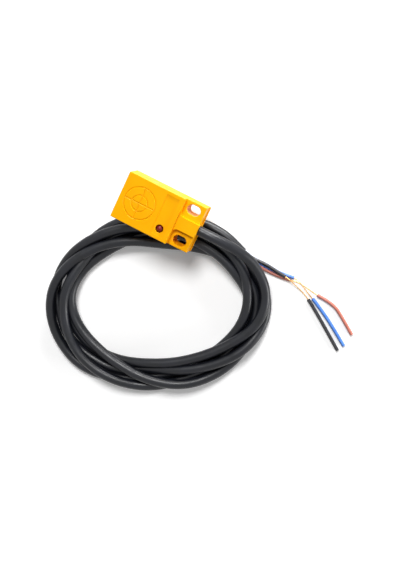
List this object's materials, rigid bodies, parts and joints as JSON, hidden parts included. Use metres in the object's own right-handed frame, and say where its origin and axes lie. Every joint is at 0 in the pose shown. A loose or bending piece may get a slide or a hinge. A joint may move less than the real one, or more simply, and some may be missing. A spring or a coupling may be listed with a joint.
{
  "type": "inductive proximity sensor",
  "caption": "Flat rectangular inductive proximity sensor with slotted mounting ears, a red indicator and a coiled black cable ending in stripped coloured cores.",
  "frame": {"origin": "on the sensing face, over the middle of the sensing coil", "axes": "+Z out of the sensing face, +X from the sensing end to the cable end; the lead lies on the plane 20 mm below the sensing face"},
  "size_m": [0.1133, 0.0805, 0.02],
  "materials": {
    "case_plastic": "moulded yellow-orange plastic, satin gloss",
    "potting_resin": "cast black epoxy",
    "ferrite": "pressed and sintered ferrite",
    "bobbin_plastic": "natural nylon",
    "enamelled_copper": "enamelled copper wire",
    "board_laminate": "glass-epoxy board with green solder mask",
    "chip_plastic": "black epoxy moulding compound",
    "tinned_metal": "tin-plated copper alloy",
    "chip_resistor": "glass-coated chip resistor",
    "chip_ceramic": "fired ceramic",
    "tantalum_case": "moulded tantalum case",
    "diode_glass": "glass diode body",
    "solder": "lead-free solder",
    "indicator_resin": "dark red diffused epoxy",
    "bushing_rubber": "moulded rubber",
    "crimp_brass": "crimped brass",
    "cable_jacket": "black PVC jacket, satin",
    "insulation_brown": "brown PVC insulation",
    "insulation_blue": "blue PVC insulation",
    "insulation_black": "black PVC insulation",
    "bare_copper": "fine stranded copper"
  },
  "bodies": {
    "root": {"housing": "case_plastic", "potting_resin": "potting_resin", "ferrite_core": "ferrite", "coil_bobbin": "bobbin_plastic", "coil_winding": "enamelled_copper", "coil_leads": "enamelled_copper", "circuit_board": "board_laminate", "sensor_ic": "chip_plastic", "ic_leads": "tinned_metal", "output_transistor": "chip_plastic", "transistor_leads": "tinned_metal", "resistors": "chip_resistor", "ceramic_capacitors": "chip_ceramic", "tantalum_capacitor": "tantalum_case", "zener_diode": "diode_glass", "indicator_led": "indicator_resin", "led_leads": "tinned_metal", "core_solder_joints": "solder", "cable_bushing": "bushing_rubber", "cable_crimp": "crimp_brass", "cable_inlet": "cable_jacket", "cable_lead": "cable_jacket", "cable_coil": "cable_jacket", "cable_tail": "cable_jacket", "board_core_brown": "insulation_brown", "core_brown": "insulation_brown", "strand_brown": "bare_copper", "slug_brown": "insulation_brown", "board_core_blue": "insulation_blue", "core_blue": "insulation_blue", "strand_blue": "bare_copper", "slug_blue": "insulation_blue", "board_core_black": "insulation_black", "core_black": "insulation_black", "strand_black": "bare_copper", "slug_black": "insulation_black"}
  },
  "joints": []
}
